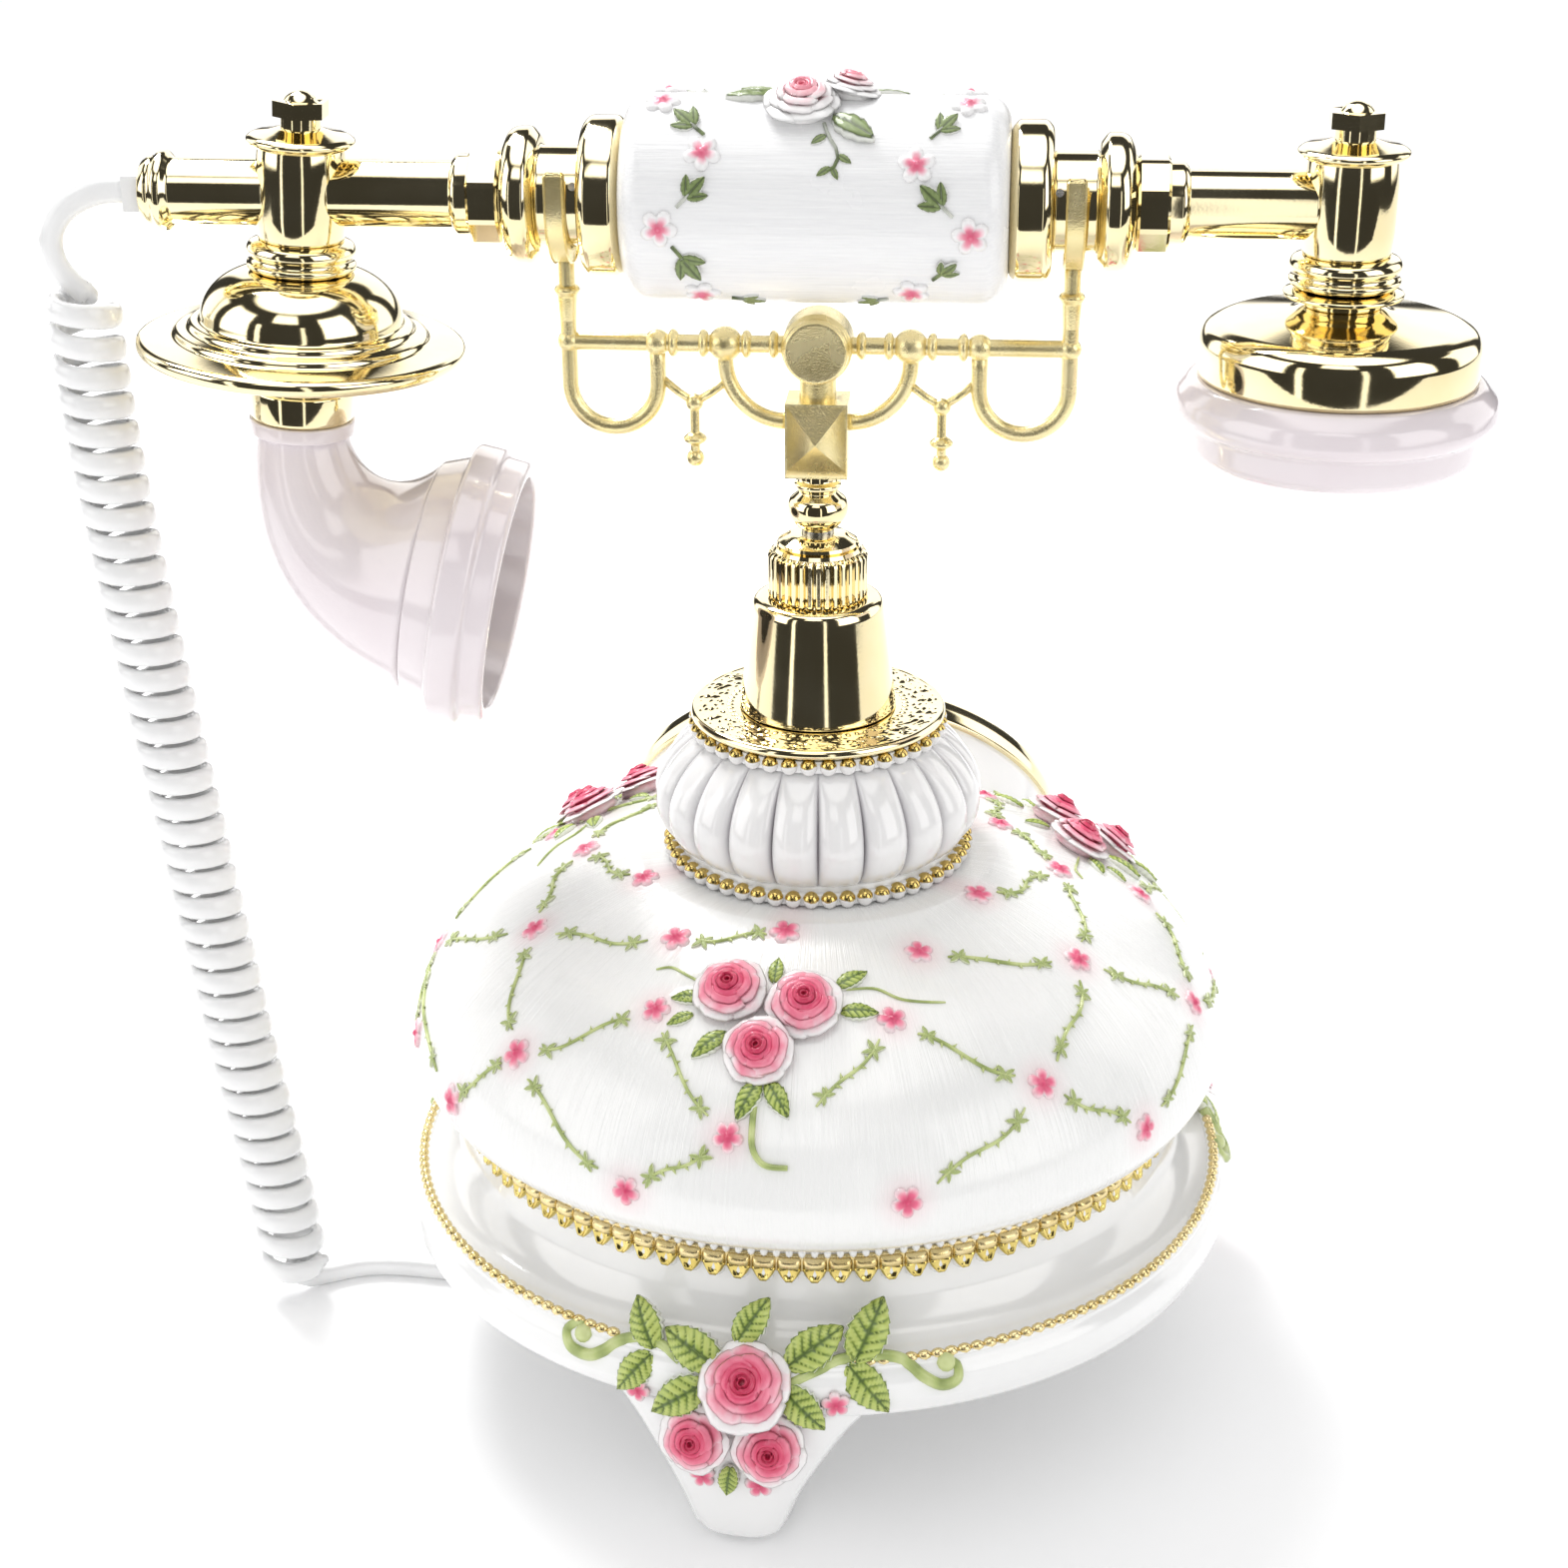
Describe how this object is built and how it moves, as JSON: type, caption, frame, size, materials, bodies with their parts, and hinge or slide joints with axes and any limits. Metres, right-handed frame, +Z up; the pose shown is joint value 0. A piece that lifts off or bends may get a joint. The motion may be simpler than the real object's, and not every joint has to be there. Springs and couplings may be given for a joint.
{
  "type": "cradle telephone",
  "caption": "Ornate European style cradle telephone on a round footed base, with rotary dial, sprung cradle, separate handset with horn mouthpiece and coiled cord.",
  "frame": {"origin": "on the table under the middle of the post, at the height the felt pads stand on", "axes": "+Z up along the post, X along the handset with the mouthpiece and its cord at -X and the earpiece at +X, +Y towards the user, where the dial faces"},
  "size_m": [0.283, 0.1993, 0.27],
  "materials": {
    "cream_resin": "painted cast resin, combed texture under clear gloss",
    "gold_plate": "polished gold plate on brass",
    "satin_gold": "satin gold plate on a zinc or brass casting",
    "pearl_plastic": "gloss, faintly pink white",
    "rose_enamel": "hand painted relief, semi gloss",
    "leaf_enamel": "hand painted relief, semi gloss",
    "plate_enamel": "gloss enamel with plain numbers",
    "pad_felt": "felt",
    "inner_plastic": "matte",
    "black_plastic": "matte",
    "board": "solder mask",
    "brass_disc": "plain brass ringer disc",
    "jack_plastic": "matte",
    "steel": "bright steel",
    "cord_white": "gloss white cord jacket"
  },
  "bodies": {
    "base": {"base_casting": "cream_resin", "leaf_band": "gold_plate", "rope_band": "gold_plate", "feet": "cream_resin", "foot_pads": "pad_felt", "foot_roses": "rose_enamel", "foot_leaves": "leaf_enamel", "dome_roses": "rose_enamel", "bottom_cover": "inner_plastic", "cover_screws": "steel", "fluted_neck": "cream_resin", "lower_bead_ring": "gold_plate", "upper_bead_ring": "gold_plate", "post_flange": "gold_plate", "post_sleeve": "gold_plate", "fluted_collar": "gold_plate", "slotted_cap": "gold_plate", "hook_spring": "steel", "hook_switch": "black_plastic", "circuit_board": "board", "ringer": "brass_disc", "line_jack": "jack_plastic", "cord_jack": "jack_plastic", "base_plug": "cord_white", "dial_bezel": "gold_plate", "number_plate": "plate_enamel", "finger_stop": "gold_plate", "dial_mechanism": "black_plastic", "cord_lead_top": "cord_white", "cord_coil": "cord_white", "cord_lead_low": "cord_white"},
    "dial": {"finger_wheel": "gold_plate", "dial_cap": "gold_plate", "dial_shaft": "steel"},
    "cradle": {"plunger": "steel", "cradle_stem": "gold_plate", "cradle_block": "gold_plate", "cradle_barrel": "satin_gold", "barrel_screw": "black_plastic", "cradle_frame": "satin_gold"},
    "handset": {"grip": "cream_resin", "grip_roses": "rose_enamel", "grip_rings": "gold_plate", "left_spindle": "gold_plate", "right_spindle": "gold_plate", "spindle_screws": "steel", "mouthpiece_hub": "gold_plate", "earpiece_hub": "gold_plate", "hub_caps": "gold_plate", "finial_nuts": "gold_plate", "cord_ferrule": "gold_plate", "mouthpiece_bell": "gold_plate", "horn_collar": "gold_plate", "horn": "pearl_plastic", "mouth_ring": "pearl_plastic", "microphone": "black_plastic", "earpiece_cup": "gold_plate", "ear_cap": "pearl_plastic", "receiver_capsule": "black_plastic", "handset_plug": "cord_white"}
  },
  "joints": [
    {"name": "cradle_hook", "type": "slide", "parent": "base", "child": "cradle", "axis": [0, 0, 1], "range_m": [0, 0.004], "stiffness_N_per_m": 300, "springref_m": 0.01, "deforming": ["hook_spring"]},
    {"name": "handset_lift", "type": "slide", "parent": "cradle", "child": "handset", "axis": [0, 0, 1], "range_m": [0, 0.08]},
    {"name": "dial_turn", "type": "hinge", "parent": "base", "child": "dial", "pos_m": [0, 0.076, 0.085], "axis": [0, -0.848, -0.5299], "range_deg": [0, 310], "stiffness_Nm_per_rad": 0.01, "springref_deg": -85.94}
  ]
}
